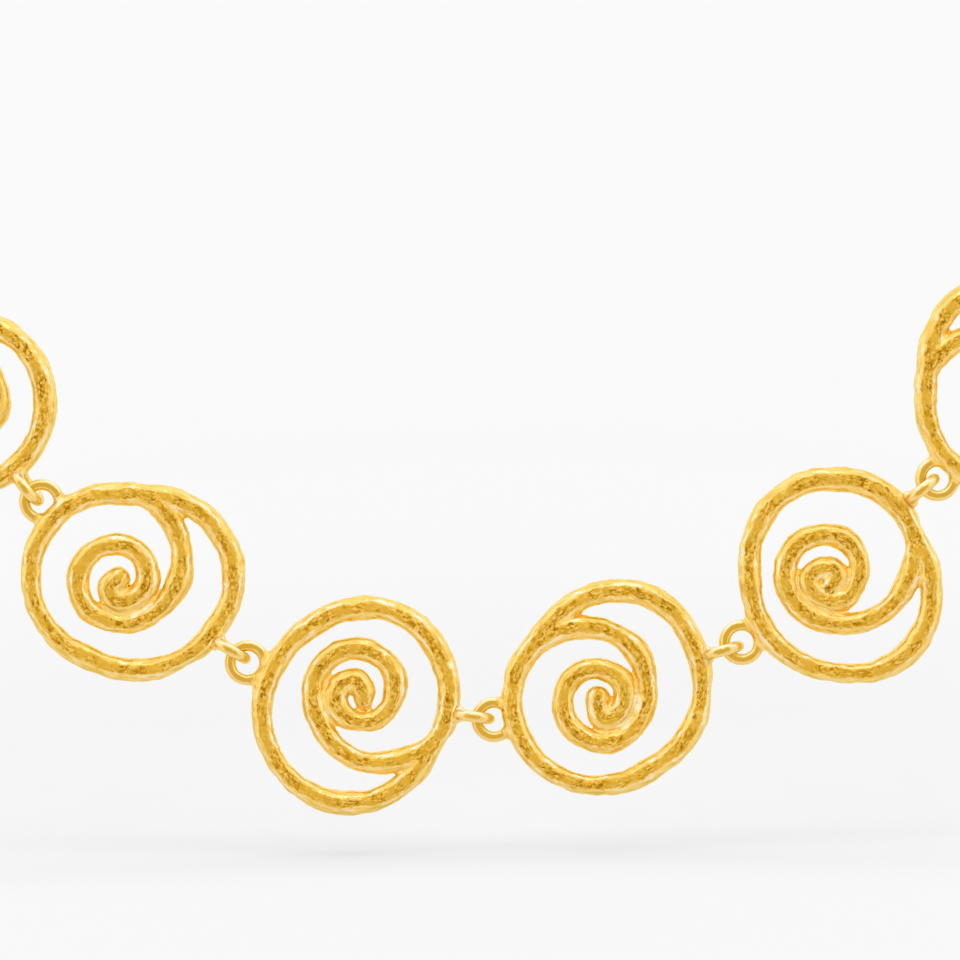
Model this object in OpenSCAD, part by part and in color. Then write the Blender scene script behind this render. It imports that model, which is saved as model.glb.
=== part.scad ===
// Necklace of sixteen cast spiral links and a hook clasp, closed round a neck.
// A link is an open ring of wire that branches and winds inward, with two small rings soldered on.
// Millimetres: +X to the wearer's left, +Y to the nape, +Z up.
// The origin is where the bar of the clasp rests on the nape.

/* [Chain] */
// Distance between the two places where a link hangs on its neighbours
pitch = 26.5; // [26:0.1:27]
// Room between the wires of two small rings that hang in each other
slack = 0.3; // [0.26:0.01:0.34]

/* [Cast wire] */
// Width of the wire, seen from the front
wire_w = 2.32; // [2.2:0.02:2.4]
// Thickness of the wire, front to back
wire_t = 1.9; // [1.6:0.1:2.2]
// Share of the width that the worn crest takes
crest_share = 0.46; // [0.35:0.01:0.6]

/* [Small rings] */
// Thickness of their wire
loop_wire = 1.14; // [1.08:0.02:1.18]
// Diameter of a small ring at the middle of its wire
loop_d = 3.56; // [3.5:0.02:3.6]
// Thickness of the solder at their feet
solder_d = 0.9; // [0.7:0.05:1]

/* [Clasp] */
// Height of the bar on the nape
bar_h = 4.4; // [3:0.1:6]
// Thickness of the bar
bar_t = 1.3; // [1:0.1:1.6]
// Wire of the hook
hook_wire = 1.2; // [1.1:0.02:1.24]
// Diameter of the hook's bend at the middle of its wire
hook_d = 3.2; // [3.1:0.1:3.4]
// Straight stretch between the bar and the bend
hook_lead = 2.5; // [2:0.1:3]
// How far the tip comes back from the bend
hook_tip = 4.5; // [3:0.1:6]

/* [Facets] */
// Sides of the large ring
ring_sides = 16; // [16:1:20]
// Sides of a small ring
loop_sides = 10; // [10:1:12]

/* [Hidden] */
gold = "gold";

// How the left half of the chain lies, link by link from the front of the neck to the clasp.
// Columns: rise of the link, its swing round the neck, and the side that its front faces, as an
// angle round the neck and a lift above the level. The right half is its mirror image.
RISE = 0;
SWING = 1;
FACING = 2;
LIFT = 3;
route = [
    [14.5,   4,   0, 15],
    [37.5,  12,   2, 15],
    [46.5,  28,  14, 18],
    [38,    64,  42, 28],
    [28,    93,  70, 34],
    [19,   118,  98, 32],
    [11,   142, 126, 24],
    [ 5,   165, 154, 12],
];
half = len(route);

// The four castings, as they lie when seen from the front.
// Columns: mean radius of the ring, how far it is pulled out of round, along which direction,
// and how much of the spiral's first quarter turn still lies in the ring.
RADIUS = 0;
OVAL = 1;
OVAL_DIR = 2;
IN_RING = 3;
castings = [
    [9.84, 0.62, 174,  0],
    [9.80, 0.56,  52,  0],
    [9.82, 0.60,  60,  0],
    [9.84, 0.66, 124, 35],
];

// Where the spiral wire of each casting turns back, from the branch inward: its highest,
// rightmost, lowest and leftmost points in the order in which it passes them.
turnings = [
    [[-0.8, 9.2], [5.1, 2.4], [-1.1, -4.4], [-5.7, -0.2], [-1.65, 3.75], [1.55, 0.4], [-1.4, -2.25]],
    [[9.7, 0], [2.5, -5.85], [-4.55, 1.45], [0.2, 5.85], [4.2, 2.05], [1, -1.75], [-2.3, 0.8],
     [-0.2, 2.75]],
    [[-9.85, -0.1], [-2.3, 6.45], [4.1, -0.1], [-0.45, -5.55], [-4.65, -1.45], [-1.5, 2.05],
     [1.8, -0.4], [-0.3, -3.2]],
    [[0.25, 10.3], [7.8, 3.1], [0.5, -4.7], [-5.55, 0.3], [-1.55, 4.55], [2.25, 1.15],
     [-0.4, -2.45], [-3.3, -0.3], [-1.55, 1.15]],
];
// The end of each spiral wire is rolled up into a knob, over these two further places
knobs = [
    [[-2.35, -0.9], [-1.55, 0.1]],
    [[0.85, 1.75], [0.25, 0.95]],
    [[-1.4, -2.1], [-0.85, -1]],
    [[-0.45, 0.4], [-0.9, -0.45]],
];

// The links in their order. Columns: which casting it is, how far the casting is turned, and
// where its ring centre lies along and across the line between the two hooking places.
CASTING = 0;
TURN = 1;
ALONG = 2;
ACROSS = 3;
links = [
    [1,   -8, 13.2,  -1.0],
    [3,  110, 13.3,  -0.6],
    [0,  -80, 13.2,  -0.8],
    [2,  -20, 13.3,  -0.9],
    [1,  160, 13.2,  -1.1],
    [0, -235, 13.0,  -1.0],
    [0,  -38, 13.4,  -0.7],
    [1,  -14, 13.1,  -2.05],
    [2,   16, 13.2,  -0.6],
    [3,   40, 13.1,  -1.5],
    [0,  -37, 13.4,  -0.55],
    [0,  -60, 13.2,  -1.0],
    [1,  140, 13.3,  -0.8],
    [3,  -30, 13.2,  -1.1],
    [0,   15, 13.3,  -0.7],
    [2,  100, 13.2,  -1.0],
];

// Sections of the wires, one wide and one thick. The cast wire has a flat worn crest in front,
// sloping sides and a low ridge behind. The fine wire is round, with its corners a little out.
cast_section = [[0.5, -0.1], [crest_share / 2, 0.5], [-crest_share / 2, 0.5], [-0.5, -0.1], [0, -0.5]];
fine_section = [for (a = [0:72:288]) 0.53 * [cos(a), sin(a)]];

// Solder at the foot of a small ring, in radii of that ring: toward the large ring, and aside
loop_r = loop_d / 2;
flat_foot = [[0.62, 0.84], [1.12, 0.95]];
upright_foot = [[0.5, 0.67], [0.8, 0.45], [1.25, 0.22]];
// From a hooking place to the middle of the small ring that hangs there
loop_in = (loop_d - loop_wire - slack) / 2;

function unit(v) = v / norm(v);
function sum_to(list, n) = n == 0 ? [0, 0, 0] : list[n - 1] + sum_to(list, n - 1);
// The direction at an angle round the neck from the front, and a lift above the level
function toward(round, lift) = [sin(round) * cos(lift), -cos(round) * cos(lift), sin(lift)];

// The hooking places, from number 0 at the clasp to number half at the front and on to the clasp
steps = [for (row = route) pitch * toward(row[SWING] + 90, row[RISE])];
nape = sum_to(steps, half);
clasp_l = 2 * nape[0];
// How far the face of the clasp's bar lies inside the line of the chain
bar_face = (hook_d + hook_wire) / 2;
rest = [0, nape[1] - bar_face, nape[2]];
function mirrored(v, right) = [right ? -v[0] : v[0], v[1], v[2]];
function hooking(n) = mirrored(sum_to(steps, abs(n - half)), n < half) - rest;
function direction(n) = unit(hooking(n) - hooking(n - 1));

// The side that link n faces, square to its own length
function facing(n) =
    let (row = route[n > half ? n - half - 1 : half - n],
         out = mirrored(toward(row[FACING], row[LIFT]), n <= half))
    unit(out - (out * direction(n)) * direction(n));

// Moves what is drawn along +X with its front up to a stretch of the chain
module on_chain(start, along, face) {
    side = cross(face, along);
    multmatrix([
        [along[0], side[0], face[0], start[0]],
        [along[1], side[1], face[1], start[1]],
        [along[2], side[2], face[2], start[2]],
        [0, 0, 0, 1]])
        children();
}

// One station of a wire: its section, w wide and t thick, square to heading a at point p
function station(section, p, a, w, t) =
    [for (s = section) [p[0] - sin(a) * s[0] * w, p[1] + cos(a) * s[0] * w, s[1] * t]];

// The faces between n stations of m points each
function sides(n, m, closed) =
    [for (i = [0:closed ? n - 1 : n - 2])
        for (j = [0:m - 1])
            let (k = (i + 1) % n, l = (j + 1) % m)
            [i * m + j, k * m + j, k * m + l, i * m + l]];

// A wire that closes on itself
module closed_wire(stations) {
    polyhedron([for (s = stations) each s], sides(len(stations), len(stations[0]), true));
}

// A wire with two ends
module open_wire(stations) {
    n = len(stations);
    m = len(stations[0]);
    ends = [[for (j = [0:m - 1]) j], [for (j = [m - 1:-1:0]) (n - 1) * m + j]];
    polyhedron([for (s = stations) each s], concat(sides(n, m, false), ends));
}

// The large ring of casting c. Its corners stand out as far as its sides lie in.
function ring_point(c, a) =
    (castings[c][RADIUS] + castings[c][OVAL] * cos(2 * (a - castings[c][OVAL_DIR]))) * [cos(a), sin(a)];
module ring(c) {
    step = 360 / ring_sides;
    corner = 2 / (1 + cos(step / 2));
    closed_wire([for (i = [0:ring_sides - 1])
        let (a = -i * step, d = ring_point(c, a - 1) - ring_point(c, a + 1))
        station(cast_section, corner * ring_point(c, a), atan2(d[1], d[0]), wire_w, wire_t)]);
}

// The spiral wire of casting c: a quarter of an ellipse from each turning point to the next.
// A quarter that starts level leaves a highest or lowest point.
function quarter(p, q, level, t) = level
    ? [p[0] + (q[0] - p[0]) * sin(t), q[1] + (p[1] - q[1]) * cos(t)]
    : [q[0] + (p[0] - q[0]) * cos(t), p[1] + (q[1] - p[1]) * sin(t)];
function quarter_steps(i) = i < 2 ? 4 : i < 6 ? 3 : 2;
level_first = [true, false, false, true];
function spiral_path(c) =
    let (list = turnings[c], last = len(list) - 2)
    [for (i = [0:last])
        let (level = (i % 2 == 0) == level_first[c], count = quarter_steps(i))
        for (k = [0:i == last ? count : count - 1])
            let (t = 90 * k / count)
            if (i > 0 || t >= castings[c][IN_RING]) quarter(list[i], list[i + 1], level, t)];
module spiral(c) {
    path = spiral_path(c);
    last = len(path) - 1;
    open_wire([for (i = [0:last])
        let (d = path[min(i + 1, last)] - path[max(i - 1, 0)],
             size = i == 0 ? 0.8 : i == last ? 0.7 : 1)
        station(cast_section, path[i], atan2(d[1], d[0]), size * wire_w, size * wire_t)]);
}

// The rolled-up end of the spiral wire of casting c
module knob(c) {
    places = concat([turnings[c][len(turnings[c]) - 1]], knobs[c]);
    for (i = [1:len(places) - 1])
        hull() {
            translate(places[i - 1]) scale([1, 1, wire_t / wire_w]) sphere(d = wire_w, $fn = 6);
            translate(places[i]) scale([1, 1, wire_t / wire_w]) sphere(d = wire_w, $fn = 6);
        }
}

// A small ring of fine wire, lying flat
module small_ring() {
    step = 360 / loop_sides;
    corner = loop_r / cos(step / 2);
    closed_wire([for (i = [0:loop_sides - 1])
        let (a = -(i + 0.5) * step)
        station(fine_section, corner * [cos(a), sin(a)], a - 90, loop_wire, loop_wire)]);
}

// Solder that has run along a few places in the plane of a small ring
module solder(places, side) {
    for (i = [1:len(places) - 1])
        hull() {
            translate(loop_r * [places[i - 1][0], side * places[i - 1][1]]) sphere(d = solder_d, $fn = 4);
            translate(loop_r * [places[i][0], side * places[i][1]]) sphere(d = solder_d, $fn = 4);
        }
}

// Link n: ring and spiral, a flat small ring at its start and an upright one at its end
module spiral_link(n) {
    row = links[n - 1];
    color(gold) on_chain(hooking(n - 1), direction(n), facing(n)) union() {
        translate([row[ALONG], row[ACROSS]]) rotate(-row[TURN]) {
            ring(row[CASTING]);
            spiral(row[CASTING]);
            knob(row[CASTING]);
        }
        translate([loop_in, 0]) {
            small_ring();
            for (side = [-1, 1]) solder(flat_foot, side);
        }
        translate([pitch - loop_in, 0]) rotate([90, 0, 180]) {
            small_ring();
            for (side = [-1, 1]) solder(upright_foot, side);
        }
    }
}

// A straight length of hook wire along +X
module hook_rod(from, length) {
    translate(from) rotate([0, 90, 0]) cylinder(d = hook_wire, h = length, $fn = 24);
}

// The hook clasp: an eye, a flat bar that carries the eye on one end, and a hook bent outward
module hook_clasp() {
    bar_start = loop_in + loop_r - loop_wire / 2;
    bend_x = clasp_l + (hook_wire + slack - hook_d) / 2;
    bar_end = bend_x - hook_lead;
    color(gold) on_chain(hooking(2 * half), [-1, 0, 0], [0, 1, 0]) {
        translate([loop_in, 0])
            rotate_extrude($fn = 24) translate([loop_r, 0]) circle(d = loop_wire, $fn = 16);
        translate([bar_start, -bar_h / 2, -bar_face])
            cube([bar_end - bar_start, bar_h, bar_t]);
        translate([bar_start, -bar_h / 4, -bar_face])
            cube([2 * loop_wire, bar_h / 2, bar_face]);
        hook_rod([bar_end - hook_lead, 0, -hook_d / 2], 2 * hook_lead);
        translate([bend_x, 0]) rotate([90, 0, 0]) rotate(-90)
            rotate_extrude(angle = 180, $fn = 24) translate([hook_d / 2, 0]) circle(d = hook_wire, $fn = 24);
        hook_rod([bend_x - hook_tip, 0, hook_d / 2], hook_tip);
        translate([bend_x - hook_tip, 0, hook_d / 2]) sphere(d = 1.25 * hook_wire, $fn = 24);
    }
}

spiral_link(1);  // spiral_link_01
spiral_link(2);  // spiral_link_02
spiral_link(3);  // spiral_link_03
spiral_link(4);  // spiral_link_04
spiral_link(5);  // spiral_link_05
spiral_link(6);  // spiral_link_06
spiral_link(7);  // spiral_link_07
spiral_link(8);  // spiral_link_08
spiral_link(9);  // spiral_link_09
spiral_link(10);  // spiral_link_10
spiral_link(11);  // spiral_link_11
spiral_link(12);  // spiral_link_12
spiral_link(13);  // spiral_link_13
spiral_link(14);  // spiral_link_14
spiral_link(15);  // spiral_link_15
spiral_link(16);  // spiral_link_16
hook_clasp();
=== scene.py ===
# %% [markdown]
# # A chain of cast spirals
# This lesson dresses the solids of a short necklace. Every link is a ring of thick wire whose end
# branches off and winds inward, with a small ring soldered on at either end. The wire was hammered
# before it was cast, so its front is worn flat and pitted and its outline is never quite round.
#
# We first load the frame that the solids give. Everything that we model stays inside their box.
# Lengths are in millimetres, unless a name ends in _M, and each piece turns to metres as it is placed.

# %% Load the frame
import math
import bpy
from mathutils import Matrix, Vector
from mathutils.kdtree import KDTree


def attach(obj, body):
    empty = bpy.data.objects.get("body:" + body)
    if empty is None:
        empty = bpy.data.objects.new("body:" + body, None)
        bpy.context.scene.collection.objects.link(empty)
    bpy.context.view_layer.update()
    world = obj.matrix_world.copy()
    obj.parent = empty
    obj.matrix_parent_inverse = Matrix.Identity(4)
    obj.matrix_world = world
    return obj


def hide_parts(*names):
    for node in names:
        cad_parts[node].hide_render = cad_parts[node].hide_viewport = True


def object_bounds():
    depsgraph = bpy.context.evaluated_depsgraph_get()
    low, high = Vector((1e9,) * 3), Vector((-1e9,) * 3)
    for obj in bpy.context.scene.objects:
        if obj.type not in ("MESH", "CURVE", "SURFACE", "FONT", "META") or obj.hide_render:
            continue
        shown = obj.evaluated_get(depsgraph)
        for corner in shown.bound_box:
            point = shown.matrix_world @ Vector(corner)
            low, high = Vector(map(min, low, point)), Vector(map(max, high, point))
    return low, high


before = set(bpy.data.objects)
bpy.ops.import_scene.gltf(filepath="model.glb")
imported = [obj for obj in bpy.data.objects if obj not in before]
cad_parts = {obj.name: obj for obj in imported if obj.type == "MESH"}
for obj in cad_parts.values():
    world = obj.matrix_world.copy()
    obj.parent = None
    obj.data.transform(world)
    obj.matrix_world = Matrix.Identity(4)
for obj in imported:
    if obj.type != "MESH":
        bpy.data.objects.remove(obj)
cad_low, cad_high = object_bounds()
bpy.ops.object.select_all(action="DESELECT")
MM = 0.001


def rounded(values, places=1):
    return [round(v, places) for v in values]


print("box of the solids, mm:", rounded((cad_high - cad_low) / MM))

# %% [markdown]
# ## The course of the chain
# The chain hangs in a curve that no single circle gives. As in the solids, we follow it link by link
# from the front of the neck to the clasp: how steeply a link rises, how far it has swung round the
# neck, and which way its front looks. The other side of the neck mirrors these.

# %% Directions round the neck
PITCH = 26.5

# columns: rise, swing, facing round the neck, lift of the face (degrees)
ROUTE = [
    (14.5, 4, 0, 15),
    (37.5, 12, 2, 15),
    (46.5, 28, 14, 18),
    (38, 64, 42, 28),
    (28, 93, 70, 34),
    (19, 118, 98, 32),
    (11, 142, 126, 24),
    (5, 165, 154, 12),
]
HALF = len(ROUTE)


def toward(turn, lift):
    """The direction at a turn round the neck from its front, and a lift above the level."""
    turn, lift = math.radians(turn), math.radians(lift)
    return Vector((math.sin(turn) * math.cos(lift), -math.cos(turn) * math.cos(lift), math.sin(lift)))


def walked(count):
    """How far the first links of one side lead away from the front."""
    place = Vector((0, 0, 0))
    for rise, swing, _, _ in ROUTE[:count]:
        place += PITCH * toward(swing + 90, rise)
    return place


def mirrored(v, right):
    return Vector((-v.x, v.y, v.z)) if right else v


NAPE = walked(HALF)
print("from the front to the nape, mm:", rounded(NAPE))

# %% [markdown]
# ## A frame for every link
# A link is easiest to model lying along X with its face up. So we work out, for every link, the two
# places where it hooks into its neighbours and the matrix that carries it there. All of it is
# measured from the place at the nape where the clasp's bar rests on the neck.

# %% Hooking places and frames
HOOK_WIRE = 1.2
HOOK_D = 3.2
BAR_FACE = (HOOK_D + HOOK_WIRE) / 2
REST = Vector((0, NAPE.y - BAR_FACE, NAPE.z))


def hooking(n):
    """The place where link n hangs in link n + 1."""
    return mirrored(walked(abs(n - HALF)), n < HALF) - REST


def frame_at(start, along, face):
    """The matrix that carries a piece drawn along X, face up, to its place in metres."""
    side = face.cross(along)
    turn = Matrix((along, side, face)).transposed().to_4x4()
    return Matrix.Diagonal((MM, MM, MM, 1)) @ Matrix.Translation(start) @ turn


def link_frame(n):
    start, end = hooking(n - 1), hooking(n)
    along = (end - start).normalized()
    _, _, swing, lift = ROUTE[n - HALF - 1 if n > HALF else HALF - n]
    face = mirrored(toward(swing, lift), n <= HALF)
    face = (face - face.dot(along) * along).normalized()
    return frame_at(start, along, face)


print("front hooking place, mm:", rounded(hooking(HALF), 2))

# %% [markdown]
# ## The camera
# The front of the chain leans back by fifteen degrees, as it does when it is worn. The camera looks
# squarely at it from far off through a long lens, so that near and far links keep their size. It is
# set by two measures of the picture: its pixels to the millimetre, and the pixel where the two
# middle links hook.

# %% Camera
LEAN = math.radians(15)
ROLL = math.radians(0.77)
LENS = 800
SENSOR = 36
PICTURE_PX = 960
PX_PER_MM = 9.7
FRONT_PX = (484.5, 718)
SIDEWAYS = Vector((1, 0, 0))
slope = Vector((0, math.sin(LEAN), math.cos(LEAN)))
to_camera = Vector((0, -math.cos(LEAN), math.sin(LEAN)))
right = math.cos(ROLL) * SIDEWAYS - math.sin(ROLL) * slope
up = math.sin(ROLL) * SIDEWAYS + math.cos(ROLL) * slope
beyond, below = [(px - PICTURE_PX / 2) / PX_PER_MM for px in FRONT_PX]
middle = hooking(HALF) - beyond * right + below * up
distance = PICTURE_PX / PX_PER_MM * LENS / SENSOR
bpy.ops.object.camera_add()
camera = bpy.context.object
camera.name = "camera"
camera.data.lens = LENS
camera.data.sensor_width = SENSOR
camera.data.clip_end = 20
place = (middle + distance * to_camera) * MM
turn = Matrix((right, up, to_camera)).transposed().to_4x4()
camera.matrix_world = Matrix.Translation(place) @ turn
bpy.context.scene.camera = camera
print("camera at, m:", rounded(place, 3))

# %% [markdown]
# ## The floor
# The necklace hangs a few millimetres over plain white paper, so its shadow is soft and pale. Paper
# has no gloss. One square, far wider than the view, is enough for it.

# %% Floor
FLOOR_GAP = 4.0
FLOOR_M = 30
FLOOR_WHITE = 0.602
FLOOR_BLUE = 1.03 * FLOOR_WHITE
bpy.ops.mesh.primitive_plane_add(size=FLOOR_M, location=(0, 0, cad_low.z - FLOOR_GAP * MM))
floor = bpy.context.object
floor.name = "floor"
paper = bpy.data.materials.new("white_paper")
paper.use_nodes = True
paper_shader = paper.node_tree.nodes["Principled BSDF"]
paper_shader.inputs["Base Color"].default_value = (FLOOR_WHITE, FLOOR_WHITE, FLOOR_BLUE, 1)
paper_shader.inputs["Roughness"].default_value = 0.9
paper_shader.inputs["Specular IOR Level"].default_value = 0.0
floor.data.materials.append(paper)
print("floor at, mm:", round(floor.location.z / MM, 1))

# %% [markdown]
# ## Two words for nodes
# The light and the gold are both drawn with nodes. Two words serve both: a soft step from one value to
# another, and one colour painted over another where a mask says so. Each word works in the tree
# that is open, which is the one named tree.

# %% Soft steps and paint
def ramp(value, low, high, to_low=0.0, to_high=1.0):
    """A soft step: to_low where the value is under low, to_high where it is over high."""
    node = tree.nodes.new("ShaderNodeMapRange")
    node.interpolation_type = "SMOOTHSTEP"
    for key, v in (("From Min", low), ("From Max", high), ("To Min", to_low), ("To Max", to_high)):
        node.inputs[key].default_value = v
    tree.links.new(value, node.inputs["Value"])
    return node.outputs["Result"]


def paint(under, over, where):
    """One colour over another. Each is three numbers or the result of another node."""
    node = tree.nodes.new("ShaderNodeMix")
    node.data_type = "RGBA"
    tree.links.new(where, node.inputs["Factor"])
    for key, colour in (("A", under), ("B", over)):
        if isinstance(colour, tuple):
            node.inputs[key].default_value = (*colour, 1)
        else:
            tree.links.new(colour, node.inputs[key])
    return node.outputs["Result"]


print("words so far: ramp and paint")

# %% [markdown]
# ## The tent
# Gold shows little but what it reflects. So the necklace stands in a white tent, as jewellers use, with
# a large warm card behind the camera. The worn fronts look at the card and go mustard, while the
# rounded flanks look past it and stay pale. The tent is a world whose light depends on its direction
# alone, so it needs no walls.

# %% Tent
WHITE = (1.0, 1.0, 1.0)
CARD = (0.88, 0.80, 0.56)
LIGHT_LOW = 1.12
LIGHT_TOP = 1.17
world = bpy.data.worlds.new("tent")
world.use_nodes = True
tree = world.node_tree
direction = tree.nodes.new("ShaderNodeTexCoord").outputs["Generated"]
height = tree.nodes.new("ShaderNodeSeparateXYZ")
tree.links.new(direction, height.inputs[0])
behind = tree.nodes.new("ShaderNodeVectorMath")
behind.operation = "DOT_PRODUCT"
behind.inputs[1].default_value = to_camera
tree.links.new(direction, behind.inputs[0])
glow = ramp(height.outputs["Z"], 0.1, 0.9, LIGHT_LOW, LIGHT_TOP)
card = ramp(behind.outputs["Value"], 0.60, 0.86)
tree.links.new(glow, tree.nodes["Background"].inputs["Strength"])
tree.links.new(paint(WHITE, CARD, card), tree.nodes["Background"].inputs["Color"])
bpy.context.scene.world = world
bpy.context.scene.view_settings.view_transform = "Standard"
print("nodes in the tent:", len(tree.nodes))

# %% [markdown]
# ## Two lamps
# A wide lamp overhead throws the long soft shadow. It would also draw a white stripe along every
# wire, so reflections don't see it. A small lamp in front lays the fine glints on the dents.

# %% Lamps
LAMP_AWAY_M = 3.0
AIM_OVER_LOWEST = 20
# columns: name, lift above the level in degrees, width and depth in metres, power, seen in reflections
LAMPS = [
    ("overhead_lamp", 104, 6.0, 1.8, 66, False),
    ("front_lamp", 62, 0.4, 0.25, 1.5, True),
]
aim = Vector((0, cad_low.y, cad_low.z + AIM_OVER_LOWEST * MM))
for name, lift, width, depth, power, reflected in LAMPS:
    outward = toward(0, lift)
    bpy.ops.object.light_add(type="AREA", location=aim + LAMP_AWAY_M * outward)
    lamp = bpy.context.object
    lamp.name = name
    lamp.rotation_euler = outward.to_track_quat("Z", "Y").to_euler()
    lamp.data.shape = "RECTANGLE"
    lamp.data.size, lamp.data.size_y = width, depth
    lamp.data.energy = power
    lamp.visible_glossy = reflected
    print(name, "at, m:", rounded(lamp.location, 2))

# %% [markdown]
# ## The wire's section
# The cast wire is wider than it is thick. Its front was hammered flat and then worn, its flanks slope,
# and its back is a low round. We draw that section once, as a small closed curve through a few
# points whose handles Blender sets by itself, and later let Blender carry it along every course of
# cast wire. A drawn section keeps the flat crest, which a round bevel would lose.

# %% Section of the cast wire
WIRE_W = 2.32
WIRE_T = 1.9
SECTION_STEPS = 4
# columns: across the wire, height over its middle, in halves of its width and thickness
FLANK = [(0.36, 0.99), (0.66, 0.80), (0.90, 0.50), (1.0, 0.04), (0.86, -0.52), (0.48, -0.88)]
BACK = [(0.0, -1.0)]
SECTION = FLANK + BACK + [(-across, height) for across, height in reversed(FLANK)]
bpy.ops.curve.primitive_bezier_curve_add()
section = bpy.context.object
section.name = "section"
section.data.dimensions = "2D"
section.data.resolution_u = SECTION_STEPS
outline = section.data.splines[0]
outline.use_cyclic_u = True
outline.bezier_points.add(len(SECTION) - len(outline.bezier_points))
for point, (across, height) in zip(outline.bezier_points, SECTION):
    point.co = (across * WIRE_W / 2, height * WIRE_T / 2, 0)
    point.handle_left_type = point.handle_right_type = "AUTO"
bpy.context.view_layer.update()
print("section, mm:", rounded(section.dimensions, 2))

# %% [markdown]
# ## From a drawn course to wire
# A course is drawn as a curve in the plane of its link. Blender carries the section along it and makes
# the result a mesh. From a finer copy of the same curve we also keep its middle line, point by point,
# because the gold must know later which way the wire runs.

# %% Wire along a course
COURSE_STEPS = 10
LINE_STEPS = 48
SAME_PLACE = 1e-6


def pick(piece):
    """Selects one piece alone and makes it the active one."""
    bpy.ops.object.select_all(action="DESELECT")
    piece.select_set(True)
    bpy.context.view_layer.objects.active = piece


def middle_line(course):
    """Points along a course, each with its heading."""
    pick(course)
    bpy.ops.object.duplicate()
    bpy.context.object.data.resolution_u = LINE_STEPS
    bpy.ops.object.convert(target="MESH")
    line = bpy.context.object
    points = [v.co.copy() for v in line.data.vertices]
    bpy.data.objects.remove(line)
    steps = zip(points, points[1:])
    return [(a, (b - a).normalized()) for a, b in steps if (b - a).length > SAME_PLACE]


def cast_along(course):
    """The section carried along a course, as a mesh, and the course's middle line."""
    line = middle_line(course)
    course.data.bevel_mode = "OBJECT"
    course.data.bevel_object = section
    course.data.use_fill_caps = True
    pick(course)
    bpy.ops.object.convert(target="MESH")
    return bpy.context.object, line


print("steps between points:", COURSE_STEPS, "and for the middle line:", LINE_STEPS)

# %% [markdown]
# ## The rings
# The chain repeats four castings. Each has a ring of thick wire that was bent by hand, so it is a little
# out of round. We say how far its middle line lies from the centre in twelve directions, and
# let a smooth closed curve run through those places.

# %% Rings
RING_R = 10
# the ring's middle line from its centre, every 30 degrees, counter-clockwise from the right
ROUNDS = [
    (10.43, 10.19, 9.5, 9.0, 9.85, 10.5, 10.5, 9.9, 9.1, 9.2, 9.4, 9.85),
    (9.66, 10.2, 10.45, 10.1, 9.4, 9.3, 9.6, 9.8, 10.1, 10.0, 9.5, 9.0),
    (9.65, 9.95, 10.4, 10.0, 9.3, 9.0, 9.85, 10.35, 10.3, 9.8, 9.25, 9.5),
    (9.5, 9.05, 9.8, 10.25, 10.4, 10.0, 9.2, 9.3, 9.45, 9.65, 10.35, 10.2),
]


def ring_wire(c):
    bpy.ops.curve.primitive_bezier_circle_add(radius=RING_R)
    ring = bpy.context.object
    ring.data.dimensions = "2D"
    ring.data.resolution_u = COURSE_STEPS
    points = ring.data.splines[0].bezier_points
    points.add(len(ROUNDS[c]) - len(points))
    for i, (point, reach) in enumerate(zip(points, ROUNDS[c])):
        at = 2 * math.pi * i / len(points)
        point.co = (reach * math.cos(at), reach * math.sin(at), 0)
        point.handle_left_type = point.handle_right_type = "AUTO"
    return cast_along(ring)


print("least and greatest reach of the rings, mm:", [(min(r), max(r)) for r in ROUNDS])

# %% [markdown]
# ## The spirals
# A spiral leaves each ring and winds inward. It is easiest to control at the places where
# it turns back: its highest, rightmost, lowest and leftmost points. There its handles are level or
# upright, and with a handle of 0.5523 of the way each quarter turn is a quarter of an ellipse. The
# last curl runs through two more points whose handles Blender sets. There the wire swells, and
# its tip has a thickness of its own.

# %% Tables of the spirals
# the places where each spiral turns back, from the ring inward
TURNINGS = [
    [(-0.8, 9.2), (5.1, 2.4), (-1.1, -4.4), (-5.7, -0.2), (-1.65, 3.75), (1.55, 0.4), (-1.4, -2.25)],
    [(9.7, 0), (2.5, -5.85), (-4.35, 1.45), (0.2, 5.85), (4.2, 2.05), (1, -1.75), (-2.02, 0.8),
     (-0.2, 2.75)],
    [(-9.85, -0.1), (-2.3, 6.45), (4.1, -0.1), (-0.45, -5.55), (-4.65, -1.45), (-1.5, 2.05),
     (1.8, -0.4), (-0.3, -3.2)],
    [(0.25, 10.3), (7.8, 3.1), (0.5, -4.7), (-5.55, 0.3), (-1.55, 4.55), (2.25, 1.15),
     (-0.42, -2.35), (-3.12, -0.35), (-1.5, 1.15)],
]
# whether the handles at its first place are level
LEVEL_FIRST = [True, False, False, True]
# the last two places of its middle line
CURLS = [
    [(-2.3, -0.65), (-1.5, 0.3)],
    [(0.88, 1.5), (0.92, 0.5)],
    [(-1.15, -1.65), (-1.15, -0.92)],
    [(-0.15, 0.35), (-0.8, -0.55)],
]
# how thick the wire is in the last curl and at its tip, in parts of its usual thickness
SWELL = [1.12, 1.1, 1.08, 1.03]
TIP = [1.15, 0.85, 1.2, 1.03]
print("turning places of the spirals:", [len(t) for t in TURNINGS])

# %% Spirals
QUARTER = 0.5523


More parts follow.
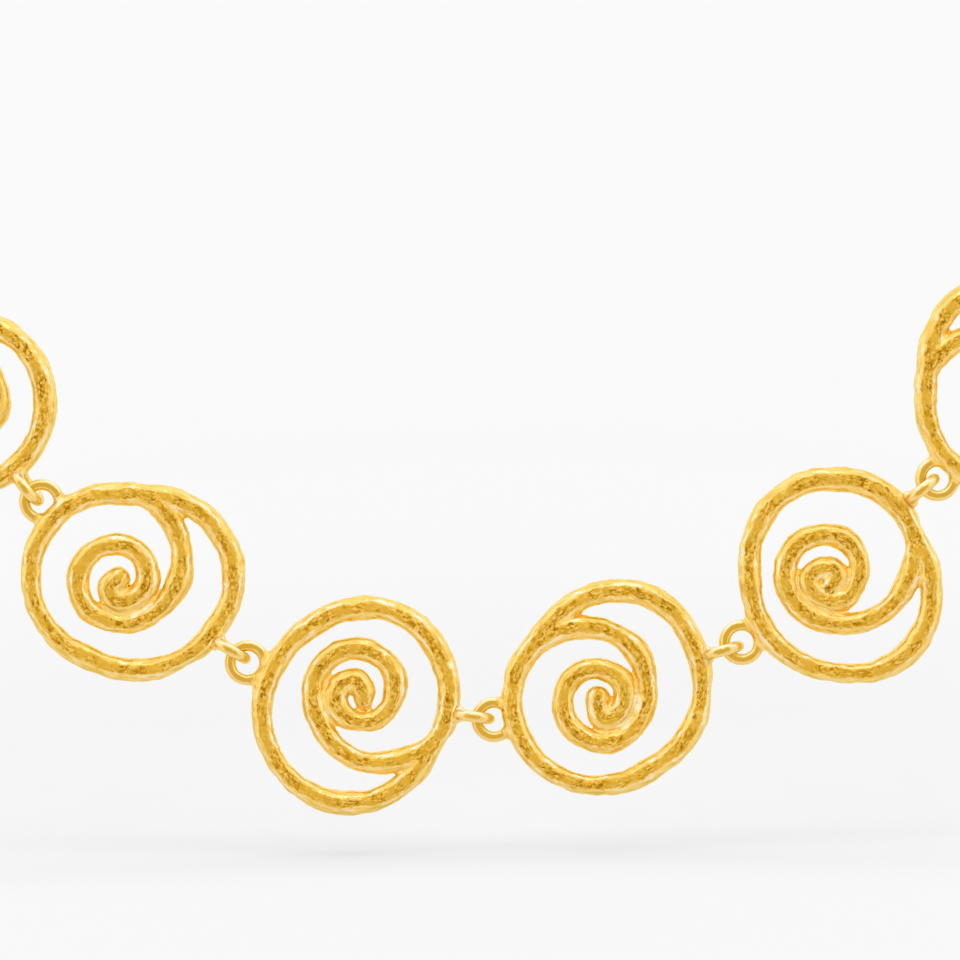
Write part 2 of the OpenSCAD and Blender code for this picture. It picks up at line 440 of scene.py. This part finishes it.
def spiral_wire(c):
    places = [Vector((*p, 0)) for p in TURNINGS[c] + CURLS[c]]
    turns = len(TURNINGS[c])
    bpy.ops.curve.primitive_bezier_curve_add()
    spiral = bpy.context.object
    spiral.data.dimensions = "2D"
    spiral.data.resolution_u = COURSE_STEPS
    points = spiral.data.splines[0].bezier_points
    points.add(len(places) - len(points))
    for i, (point, p) in enumerate(zip(points, places)):
        point.co = p
        point.radius = 1.0 if i < turns - 2 else SWELL[c] if i <= turns else TIP[c]
        if i >= turns:
            point.handle_left_type = point.handle_right_type = "AUTO"
            continue
        point.handle_left_type = point.handle_right_type = "FREE"
        level = (i % 2 == 0) == LEVEL_FIRST[c]
        before = places[i - 1] if i > 0 else 2 * p - places[1]
        for q, handle in ((before, "handle_left"), (places[i + 1], "handle_right")):
            reach = QUARTER * (q - p)
            setattr(point, handle, p + Vector((reach.x, 0, 0) if level else (0, reach.y, 0)))
    return cast_along(spiral)


print("handle of a quarter turn, in parts of the way:", QUARTER)

# %% [markdown]
# ## Four castings
# The caster works from four models and repeats them. We join each ring with its spiral and close the
# spiral's end with a ball, because a wire cut square would look sawn off. Every link is copied
# from one of these later.

# %% Castings
ROUND_END = 0.48


def join(parts):
    bpy.ops.object.select_all(action="DESELECT")
    for part in parts:
        part.select_set(True)
    bpy.context.view_layer.objects.active = parts[0]
    bpy.ops.object.join()
    bpy.ops.object.transform_apply(location=True, rotation=True, scale=True)
    return bpy.context.object


castings, lines = [], []
for c in range(len(ROUNDS)):
    (ring, ring_line), (spiral, spiral_line) = ring_wire(c), spiral_wire(c)
    lines.append(ring_line + spiral_line)
    bpy.ops.mesh.primitive_uv_sphere_add(segments=16, ring_count=8, location=(*CURLS[c][-1], 0),
                                         radius=ROUND_END * TIP[c] * WIRE_W)
    casting = join([ring, spiral, bpy.context.object])
    casting.name = f"casting_{c}"
    castings.append(casting)
    print(casting.name, "faces:", len(casting.data.polygons), "size, mm:", rounded(casting.dimensions))

# %% [markdown]
# ## The small rings and their solder
# The small rings are bent from fine round wire and soldered on, so they stay smooth and bright. One
# torus serves for all of them. The solder runs up into the corner on either side of a foot, which
# we lay down as small drops that the weld will run together.

# %% Small rings and solder
SLACK = 0.3
LOOP_WIRE = 1.14
LOOP_R = 1.78
LOOP_IN = LOOP_R - (LOOP_WIRE + SLACK) / 2
# a little more than LOOP_WIRE, because the weld takes some off
SMALL_WIRE = 1.2
DROP_R = 0.48
# columns: distance toward the casting, aside and up or down, in radii of the small ring
UPRIGHT_FOOT = [(0.62, 0.12, 0.72), (0.85, 0.3, 0.5), (1.12, 0.3, 0.25)]


def small_ring(middle, aside, upright, turn=0):
    bpy.ops.mesh.primitive_torus_add(
        major_radius=LOOP_R, minor_radius=SMALL_WIRE / 2, major_segments=48, minor_segments=16,
        location=(middle, aside, 0), rotation=(math.radians(90 if upright else 0), 0, math.radians(turn)))
    return bpy.context.object


def solder_foot(middle, aside, turn):
    """Drops of solder at the foot of an upright ring, on both sides, above and below."""
    drops = []
    for back, out, rise in UPRIGHT_FOOT:
        sway = aside - back * LOOP_R * math.tan(math.radians(turn))
        for left in (-1, 1):
            for over in (-1, 1):
                at = (middle - back * LOOP_R, sway + left * out * LOOP_R, over * rise * LOOP_R)
                bpy.ops.mesh.primitive_uv_sphere_add(
                    segments=12, ring_count=8, radius=DROP_R, location=at)
                drops.append(bpy.context.object)
    return drops


print("small ring, inside and outside, mm:",
      rounded([2 * LOOP_R - SMALL_WIRE, 2 * LOOP_R + SMALL_WIRE], 2))

# %% [markdown]
# ## The links
# A link is a casting, turned, with a flat small ring at its start and an upright one at its end. The
# turns of the links in front are those that the picture shows, and the rest are turned at will. Small
# rings that are soldered by hand sit a little off their marks, and a second short table says how far.

# %% Tables of the links
# columns: which casting, its turn in degrees clockwise, its centre along and across the link
LINKS = [
    (1, -8, 13.2, -1.0),
    (3, 110, 13.3, -0.6),
    (0, -80, 13.2, -0.8),
    (2, -20, 13.3, -0.9),
    (1, 160, 13.2, -1.1),
    (0, -234.6, 12.97, -1.04),
    (0, -38.3, 13.5, -0.6),
    (1, -14.3, 13.25, -2.1),
    (2, 15.8, 13.12, -0.6),
    (3, 39.9, 13.05, -1.6),
    (0, -36.9, 13.49, -0.54),
    (0, -60, 13.2, -1.0),
    (1, 140, 13.3, -0.8),
    (3, -30, 13.2, -1.1),
    (0, 15, 13.3, -0.7),
    (2, 100, 13.2, -1.0),
]
# columns: flat ring along and across, upright ring along and across, its turn in degrees
ON_MARK = (0, 0, 0, 0, 0)
OFF_MARK = {
    7: (0, 0, 0.35, 0.1, 8),
    8: (0.35, -0.5, -0.2, -0.15, 7),
    9: (-0.15, -0.43, 0, 0, 0),
    10: (0.1, -0.2, 0, 0, 0),
    11: (-0.15, -0.4, 0, 0, 0),
}
print("links:", len(LINKS), "with small rings off their marks:", len(OFF_MARK))

# %% A link joined from its parts
def raw_link(n):
    """Link n along X, from the place where it hooks into the link before it."""
    c, turn, along, across = LINKS[n - 1]
    flat_along, flat_across, upright_along, upright_across, upright_turn = OFF_MARK.get(n, ON_MARK)
    body = castings[c].copy()
    body.data = castings[c].data.copy()
    bpy.context.collection.objects.link(body)
    body.location = (along, across, 0)
    body.rotation_euler.z = math.radians(-turn)
    middle = PITCH - LOOP_IN + upright_along
    flat = small_ring(LOOP_IN + flat_along, flat_across, False)
    upright = small_ring(middle, upright_across, True, upright_turn)
    return join([body, flat, upright] + solder_foot(middle, upright_across, upright_turn))


print("the upright ring's centre, mm along a link:", round(PITCH - LOOP_IN, 2))

# %% [markdown]
# ## One skin
# A casting has no seams. A voxel remesh welds the overlapping parts into one skin of even faces, and a
# little smoothing turns the corners into fillets, as solder leaves them. Even faces are also what
# the dents need in the next step.

# %% Weld
SOFTENINGS = 3


def apply_modifiers(piece):
    pick(piece)
    for modifier in list(piece.modifiers):
        bpy.ops.object.modifier_apply(modifier=modifier.name)


def weld(piece, voxel):
    """One skin of even faces over the overlapping parts, with soft corners."""
    skin = piece.modifiers.new("weld", "REMESH")
    skin.mode = "VOXEL"
    skin.voxel_size = voxel
    soften = piece.modifiers.new("soften", "SMOOTH")
    soften.factor = 0.5
    soften.iterations = SOFTENINGS
    apply_modifiers(piece)


print("softenings after a weld:", SOFTENINGS)

# %% [markdown]
# ## The dents
# The wire was hammered by hand before it was cast. Three displacements dent the skin as the smith
# did: a slow one that makes the outline wander, a middle one for the hammer marks, and a fine one for
# the grain. Weights from 0 to 1 say how far a place may be dented, which keeps the small rings
# smooth. These dents are real shapes, so the outline shows them too.

# %% Dents
# columns: size of the lumps, how many finer layers, how far the skin may move
DENTS = {"wander": (4.4, 0, 0.5), "hammer": (1.5, 1, 0.23), "grain": (0.5, 1, 0.07)}
for name, (size, layers, _) in DENTS.items():
    texture = bpy.data.textures.new(name, "CLOUDS")
    texture.noise_scale = size
    texture.noise_depth = layers


def hammer(piece, where, blows):
    """Dents the skin by the named blows, as far as the weights say."""
    cast = piece.vertex_groups.new(name="cast")
    for v, weight in zip(piece.data.vertices, where):
        cast.add([v.index], weight, "REPLACE")
    for name in blows:
        dent = piece.modifiers.new(name, "DISPLACE")
        dent.texture = bpy.data.textures[name]
        dent.texture_coords = "LOCAL"
        dent.strength = DENTS[name][2]
        dent.mid_level = 0.5
        dent.vertex_group = "cast"
        apply_modifiers(piece)
    bpy.ops.object.shade_smooth()


print("dents, mm:", {name: depth for name, (_, _, depth) in DENTS.items()})

# %% Weights that spare the small rings
RING_REACH = 2.5
RING_FADE = 0.9


def faded(value):
    return min(1.0, max(0.0, value))


def away_from_small_rings(link):
    """0 within reach of a small ring, 1 farther away."""
    centres = [Vector((LOOP_IN, 0, 0)), Vector((PITCH - LOOP_IN, 0, 0))]
    near = [min((v.co - p).length for p in centres) for v in link.data.vertices]
    return [faded((d - RING_REACH) / RING_FADE) for d in near]


print("no dents nearer to a small ring's centre than, mm:", RING_REACH)

# %% [markdown]
# ## What the gold must know
# The real wire is worn along its crest and streaked along its length. A material can't see where a wire
# runs, so we write it into the mesh: at every corner the nearest place on the middle line and the
# distance beside it, and at every vertex how squarely it faces the front, how far it looks to the
# sky, which places the painted highlights, and whether it is cast wire or a small ring.

# %% Notes for the gold
RING_BESIDE = 0.55
SKY = Vector((0, -0.35, 0.94))


def note(piece, courses, **of_vertices):
    """Writes what the gold needs to know into the mesh."""
    wire = piece.data.attributes.new("wire", "FLOAT_VECTOR", "CORNER")
    wire.data.foreach_set("vector", courses)
    for name, values in of_vertices.items():
        piece.data.attributes.new(name, "FLOAT", "POINT").data.foreach_set("value", values)


def skyward_of(piece, placing):
    """How far every vertex of a piece will look to the sky once the piece is placed."""
    sky = placing.to_3x3().inverted() @ SKY * MM
    return [v.normal.dot(sky) for v in piece.data.vertices]


print("sky:", rounded(SKY, 2))

# %% Notes on a link
CAST_REACH = 1.75
CAST_FADE = 0.35
LINKS_APART = 40


def mark_wire(link, n):
    """Lays a link back onto its casting's middle line and notes what lies where."""
    c, turn, along, across = LINKS[n - 1]
    stations = lines[c]
    tree = KDTree(len(stations))
    for i, (p, _) in enumerate(stations):
        tree.insert(p, i)
    tree.balance()
    back = Matrix.Rotation(math.radians(turn), 4, "Z") @ Matrix.Translation((-along, -across, 0))
    flat, casts = [], []
    for v in link.data.vertices:
        q = back @ v.co
        height, q.z = q.z, 0
        flat.append(q)
        off_line = math.hypot(tree.find(q)[2], height)
        casts.append(faded((CAST_REACH - off_line) / CAST_FADE))
    courses = []
    for polygon in link.data.polygons:
        p, heading = stations[tree.find(flat[polygon.vertices[0]])[1]]
        for v in polygon.vertices:
            d = flat[v] - p
            on_line = p + d.dot(heading) * heading
            beside = heading.x * d.y - heading.y * d.x
            beside = casts[v] * beside + (1 - casts[v]) * RING_BESIDE
            courses += (on_line.x + LINKS_APART * n, on_line.y, beside)
    note(link, courses, facing=[v.normal.z for v in link.data.vertices],
         skyward=skyward_of(link, link_frame(n)), hammered=casts)


print("places on the middle lines:", [len(line) for line in lines])

# %% [markdown]
# ## Gold
# One metal serves for the whole piece. On the worn crest of the wire it is deeper and rougher and holds
# dark pits; its deeper colour there is partly a painted reflection of the card behind the camera. On
# the flanks and the small rings it is paler and smoother. We need a few more words first: sums,
# products, noise, and what the mesh was told.

# %% Sums and products
cast_gold = bpy.data.materials.new("cast_gold")
cast_gold.use_nodes = True
tree = cast_gold.node_tree


def chained(operation, values):
    """Values added or multiplied one after another."""
    result = values[0]
    for value in values[1:]:
        node = tree.nodes.new("ShaderNodeMath")
        node.operation = operation
        for slot, v in zip(node.inputs, (result, value)):
            if isinstance(v, (int, float)):
                slot.default_value = v
            else:
                tree.links.new(v, slot)
        result = node.outputs["Value"]
    return result


def plus(*values):
    return chained("ADD", values)


def times(*values):
    return chained("MULTIPLY", values)


print("nodes in a new metal:", len(tree.nodes))

# %% Noise, and what the mesh was told
def noise(vector, scale, detail, rough=0.5, stretch=(1, 1, 1)):
    mapping = tree.nodes.new("ShaderNodeMapping")
    mapping.inputs["Scale"].default_value = stretch
    tree.links.new(vector, mapping.inputs["Vector"])
    node = tree.nodes.new("ShaderNodeTexNoise")
    node.inputs["Scale"].default_value = scale
    node.inputs["Detail"].default_value = detail
    node.inputs["Roughness"].default_value = rough
    tree.links.new(mapping.outputs["Vector"], node.inputs["Vector"])
    return node.outputs["Fac"]


def told(name, output="Fac"):
    """What the mesh was told under a name."""
    node = tree.nodes.new("ShaderNodeAttribute")
    node.attribute_name = name
    return node.outputs[output]


facing, hammered, skyward = told("facing"), told("hammered"), told("skyward")
course = told("wire", "Vector")
solid = tree.nodes.new("ShaderNodeTexCoord").outputs["Object"]
print("nodes with what the mesh was told:", len(tree.nodes))

# %% [markdown]
# ## Where the metal is worn, and the painted reflection on the crest
# The crest is worn where the wire faces the front squarely and lies near its middle line, with a ragged
# edge. Two noises fray that edge: a slow one along the wire and a fine one in the metal itself. Like
# all that follow, the mask for it lies between 0 and 1. The mustard that this mask paints is partly
# wear and partly a painted reflection of the warm card behind the camera, which these fronts face.

# %% The worn crest, with its painted reflection
smooth = ramp(hammered, 0.0, 1.0, 1.0, 0.0)
parts = tree.nodes.new("ShaderNodeSeparateXYZ")
tree.links.new(course, parts.inputs[0])
off_line = tree.nodes.new("ShaderNodeMath")
off_line.operation = "ABSOLUTE"
tree.links.new(parts.outputs["Z"], off_line.inputs[0])
ragged = noise(solid, 1300, 3, 0.7)
uneven = plus(times(noise(course, 0.45, 2), 0.55), times(ragged, 0.8), -0.675)
squarely = plus(facing, times(off_line.outputs["Value"], -0.72), times(uneven, hammered))
# where the crest is worn, which is also where a painted reflection of the card goes
wear_and_painted_reflection = times(ramp(squarely, 0.51, 0.71), hammered)
print("nodes for the worn crest:", len(tree.nodes))

# %% [markdown]
# ## The painted lip highlight, the flanks and the small rings
# Beside the crest runs a painted highlight on the side toward the sky, broken here and there, which the
# bump also raises a little.
# The flanks are streaked along the wire, some streaks dull and some clear. The small rings have a
# painted reflection of the card as a deeper middle line, and a painted glint on the side of the sky.
# At the very edge all of it turns to one pale tone, since wires that mirror each other there look
# too orange otherwise.

# %% Masks beside the crest
clouds = noise(course, 0.8, 2, stretch=(0.7, 0.7, 1.0))
# painted highlight beside the crest, strongest where the wire looks to the sky
painted_lip_highlight = times(ramp(skyward, -0.35, 0.55, 0.15, 1.0), ramp(squarely, 0.10, 0.24),
            ramp(squarely, 0.36, 0.50, 1.0, 0.0), ramp(clouds, 0.50, 0.60), hammered)
streaky = noise(course, 1.5, 4, 0.65, stretch=(0.45, 0.45, 3.0))
dull = times(ramp(streaky, 0.50, 0.60), hammered)
clear = times(ramp(streaky, 0.40, 0.48, 1.0, 0.0), hammered)
# painted reflection of the card along the middle of the small rings
painted_mid_reflection = times(ramp(plus(facing, times(ragged, 0.25)), 0.96, 1.09), smooth)
# painted glint on the side of the small rings that looks to the sky
painted_glint = times(ramp(skyward, 0.62, 0.82), ramp(facing, 0.25, 0.5), ramp(facing, 0.7, 0.92, 1.0, 0.0),
              smooth)
rim = times(ramp(facing, 0.1, 0.6, 1.0, 0.0), ramp(facing, -0.7, -0.3))
print("nodes so far:", len(tree.nodes))

# %% [markdown]
# ## Pits, stains, painted lights and painted shade on the crest
# The crest is not evenly worn. Calm stretches are plain mustard; rough ones hold stains, small painted
# lights on the raised parts of the relief, and dark pits. The stains and pits lie in the dents and also
# carry painted shade. A slow noise says which stretch is which, a middle one lays out the painted
# lights and the stains, and a fine one pricks the pits.

# %% Masks on the crest
patches = noise(course, 0.62, 2)
mottle = noise(course, 1.9, 3, 0.65, stretch=(1.0, 1.0, 2.0))
grain = noise(solid, 2200, 3, 0.7)
# painted highlights where the relief is raised
painted_crest_lights = times(ramp(mottle, 0.36, 0.48, 1.0, 0.0), ramp(patches, 0.36, 0.52, 0.45, 1.0), wear_and_painted_reflection)
# stains where the relief is dented, with painted shade
stain_and_painted_shade = times(ramp(mottle, 0.48, 0.58), ramp(patches, 0.38, 0.53), wear_and_painted_reflection)
# pits, with painted shade in them
pits_and_painted_shade = times(ramp(grain, 0.49, 0.62), ramp(mottle, 0.47, 0.55), ramp(patches, 0.45, 0.56), wear_and_painted_reflection)
print("nodes so far:", len(tree.nodes))

# %% [markdown]
# ## The colours of the gold
# We paint as a gilder would, from the ground up: pale flanks, their streaks, the small rings with a
# painted glint and a painted reflection along their middle, the rim, and the worn crest with its marks
# last. The crest's mustard is partly a painted reflection of the card, its small lights are painted
# highlights, its stains and pits hold painted shade, and a painted highlight beside it goes on top. A
# metal's colour is the colour of its reflections, so even the browns stay warm.

# %% Colours
PALE, AMBER, CREAM = (0.96, 0.66, 0.18), (0.81, 0.51, 0.10), (0.98, 0.715, 0.29)
CLEAR_GOLD, DEEP, RIM_GOLD = (0.96, 0.68, 0.24), (0.64, 0.37, 0.03), (0.915, 0.775, 0.26)
MUSTARD, OCHRE, BROWN = (0.735, 0.435, 0.05), (0.55, 0.265, 0.006), (0.38, 0.148, 0.001)
HONEY, BRIGHT = (0.95, 0.64, 0.18), (0.98, 0.86, 0.65)
EDGE_TINT = (0.92, 0.87, 0.62, 1)
colour = paint(PALE, AMBER, times(dull, 0.95))
colour = paint(colour, CREAM, times(clear, 0.95))
colour = paint(colour, CLEAR_GOLD, smooth)
# painted glint on the small rings
colour = paint(colour, BRIGHT, painted_glint)
# painted reflection along the small rings' middle
colour = paint(colour, DEEP, times(painted_mid_reflection, 0.85))
colour = paint(colour, RIM_GOLD, rim)
# mustard crest: partly wear, partly a painted reflection of the card
colour = paint(colour, MUSTARD, wear_and_painted_reflection)
# painted highlights on the crest
colour = paint(colour, HONEY, times(painted_crest_lights, 0.9))
# stains, with painted shade in the dents
colour = paint(colour, OCHRE, times(stain_and_painted_shade, 0.9))
# pits: their dark colour and painted shade in them
colour = paint(colour, BROWN, pits_and_painted_shade)
# painted highlight beside the crest
colour = paint(colour, BRIGHT, times(painted_lip_highlight, 0.9))
shader = tree.nodes["Principled BSDF"]
shader.inputs["Metallic"].default_value = 1.0
shader.inputs["Specular Tint"].default_value = EDGE_TINT
tree.links.new(colour, shader.inputs["Base Color"])
tree.links.new(ramp(wear_and_painted_reflection, 0, 1, 0.18, 0.32), shader.inputs["Roughness"])
print("nodes so far:", len(tree.nodes))

# %% [markdown]
# ## Relief too fine for the mesh
# Pits, scratches and streaks a tenth of a millimetre deep would need millions of faces. A bump node
# shades them instead. It fades out toward the edge of the wire, where a false slope would show.

# %% Relief
RELIEF_M = 0.00012
relief = plus(times(painted_lip_highlight, 0.1), times(streaky, -0.4), times(pits_and_painted_shade, -0.3), times(mottle, wear_and_painted_reflection, -1.2),
              times(ragged, wear_and_painted_reflection, 1.0))
bump = tree.nodes.new("ShaderNodeBump")
bump.inputs["Distance"].default_value = RELIEF_M
tree.links.new(ramp(facing, 0.1, 0.5), bump.inputs["Strength"])
tree.links.new(relief, bump.inputs["Height"])
tree.links.new(bump.outputs["Normal"], shader.inputs["Normal"])
print("nodes in the gold:", len(tree.nodes))

# %% [markdown]
# ## Dressing the chain
# Now every link goes through the same hands: joined, welded, hammered, noted, carried to its place and
# gilded. The links in front get a finer skin than those that nobody sees.

# %% Dress the links
IN_FRONT = range(6, 12)
FINE_SKIN = 0.18
COARSE_SKIN = 0.26


def gild(piece, placing):
    """Carries a finished piece to its place and gives it the gold."""
    piece.data.transform(placing)
    piece.data.materials.clear()
    piece.data.materials.append(cast_gold)
    for polygon in piece.data.polygons:
        polygon.material_index = 0


for n in range(1, len(LINKS) + 1):
    link = raw_link(n)
    link.name = link.data.name = f"link_{n:02d}"
    weld(link, FINE_SKIN if n in IN_FRONT else COARSE_SKIN)
    hammer(link, away_from_small_rings(link), ("wander", "hammer", "grain"))
    mark_wire(link, n)
    gild(link, link_frame(n))
    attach(link, "root")
    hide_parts(f"spiral_link_{n:02d}")
    link.visible_diffuse = False
    print(link.name, "triangles:", 2 * len(link.data.polygons))

# %% [markdown]
# ## Putting the moulds away
# The castings and the section were only moulds. They would otherwise lie in the picture.

# %% Put the moulds away
for mould in castings + [section]:
    bpy.data.objects.remove(mould)
print("moulds put away:", len(castings) + 1)

# %% [markdown]
# ## The clasp's bar and eye
# The clasp lies at the nape, where the necklace isn't seen. It could be any plain catch; a flat bar with
# an eye at one end and a bent hook at the other is the simplest that fits such work. The bar is forged
# flat with eased edges and a slightly sunk face, which a bevel and two insets give as a file and a
# punch would. A narrow tang carries the eye, the same small ring as on the links.

# %% Measures of the clasp
BAR_H = 4.4
BAR_T = 1.3
HOOK_LEAD = 2.5
BAR_START = LOOP_IN + LOOP_R - LOOP_WIRE / 2
BEND_X = 2 * NAPE.x + (HOOK_WIRE + SLACK - HOOK_D) / 2
BAR_END = BEND_X - HOOK_LEAD
print("the bar lies along X, mm:", rounded([BAR_START, BAR_END]))

# %% The bar and its eye
EASE = 0.3
FLAT_EDGE = 0.35
SLOPE = 0.2
SUNK = 0.25
SQUARELY_UP = 0.99
TANG_L = 2 * LOOP_WIRE
TANG_T = BAR_FACE + 0.2


def eased_bar(start, end, height, thick, sunk):
    """A forged bar with eased edges, whose outer face may be sunk a little."""
    bpy.ops.mesh.primitive_cube_add(size=1, location=((start + end) / 2, 0, thick / 2 - BAR_FACE))
    bar = bpy.context.object
    bar.scale = (end - start, height, thick)
    bpy.ops.object.transform_apply(location=True, rotation=True, scale=True)
    bpy.ops.object.mode_set(mode="EDIT")
    bpy.ops.mesh.select_all(action="SELECT")
    bpy.ops.mesh.bevel(offset=EASE, segments=3, affect="EDGES")
    bpy.ops.mesh.select_mode(type="FACE")
    bpy.ops.mesh.select_all(action="DESELECT")
    bpy.ops.object.mode_set(mode="OBJECT")
    if sunk:
        for face in bar.data.polygons:
            face.select = face.normal.z > SQUARELY_UP
        bpy.ops.object.mode_set(mode="EDIT")
        bpy.ops.mesh.inset(thickness=FLAT_EDGE)
        bpy.ops.mesh.inset(thickness=SLOPE, depth=-SUNK)
        bpy.ops.object.mode_set(mode="OBJECT")
    return bar


bar = eased_bar(BAR_START, BAR_END, BAR_H, BAR_T, True)
tang = eased_bar(BAR_START, BAR_START + TANG_L, BAR_H / 2, TANG_T, False)
eye = small_ring(LOOP_IN, 0, False)
print("bar, mm:", rounded(bar.dimensions))

# %% [markdown]
# ## The hook
# The hook is one length of round wire that leaves the bar, bends back over itself and ends in a ball, so
# that it doesn't scratch. A curve with a round bevel is just such a wire. Its lead starts inside the bar.

# %% The hook
HOOK_ROOT = 0.5
HOOK_TIP = 4.5
BALL = 0.62
HOOK_COURSE = [(BAR_END - HOOK_ROOT, -HOOK_D / 2), (BEND_X, -HOOK_D / 2), (BEND_X + HOOK_D / 2, 0),
               (BEND_X, HOOK_D / 2), (BEND_X - HOOK_TIP, HOOK_D / 2)]
HEADINGS = [(1, 0), (1, 0), (0, 1), (-1, 0), (-1, 0)]
bpy.ops.curve.primitive_bezier_curve_add()
hook = bpy.context.object
hook.data.dimensions = "3D"
hook.data.resolution_u = 12
hook.data.bevel_depth = HOOK_WIRE / 2
hook.data.bevel_resolution = 5
hook.data.use_fill_caps = True
points = hook.data.splines[0].bezier_points
points.add(len(HOOK_COURSE) - len(points))
for point, (x, z), (ahead, over) in zip(points, HOOK_COURSE, HEADINGS):
    reach = QUARTER * HOOK_D / 2 * Vector((ahead, 0, over))
    point.handle_left_type = point.handle_right_type = "FREE"
    point.co = (x, 0, z)
    point.handle_left, point.handle_right = point.co - reach, point.co + reach
bpy.ops.object.convert(target="MESH")
hook = bpy.context.object
bpy.ops.mesh.primitive_uv_sphere_add(segments=24, ring_count=12, radius=BALL * HOOK_WIRE,
                                     location=(BEND_X - HOOK_TIP, 0, HOOK_D / 2))
ball = bpy.context.object
print("hook, mm:", rounded(hook.dimensions))

# %% [markdown]
# ## The clasp in one piece
# Bar, eye and hook are soldered together, so they are welded as the links are, with a finer skin that
# keeps the eased edges. Only the bar is hammered; the wire of the eye and the hook stays smooth. The
# clasp then goes to the nape, its outer face to the back.

# %% The clasp in one piece
CLASP_SKIN = 0.12
CLASP_BESIDE = RING_BESIDE + 0.06
BAR_MARGIN = 0.2
BAR_FADE = 0.6
HAMMERED_UP_TO = BAR_T - BAR_FACE + 0.1
clasp = join([bar, tang, eye, hook, ball])
clasp.name = clasp.data.name = "clasp"
weld(clasp, CLASP_SKIN)
where = []
for v in clasp.data.vertices:
    inside = min(v.co.x - BAR_START, BAR_END - v.co.x) - BAR_MARGIN
    where.append(faded(inside / BAR_FADE) if v.co.z < HAMMERED_UP_TO else 0.0)
hammer(clasp, where, ("hammer", "grain"))
placing = frame_at(hooking(2 * HALF), Vector((-1, 0, 0)), Vector((0, 1, 0)))
courses = []
for polygon in clasp.data.polygons:
    for v in polygon.vertices:
        x, y, _ = clasp.data.vertices[v].co
        courses += (x - LINKS_APART, y, CLASP_BESIDE)
note(clasp, courses, facing=[v.normal.z for v in clasp.data.vertices],
     skyward=skyward_of(clasp, placing), hammered=where)
gild(clasp, placing)
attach(clasp, "root")
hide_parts("hook_clasp")
clasp.visible_diffuse = False
print("clasp triangles:", 2 * len(clasp.data.polygons))
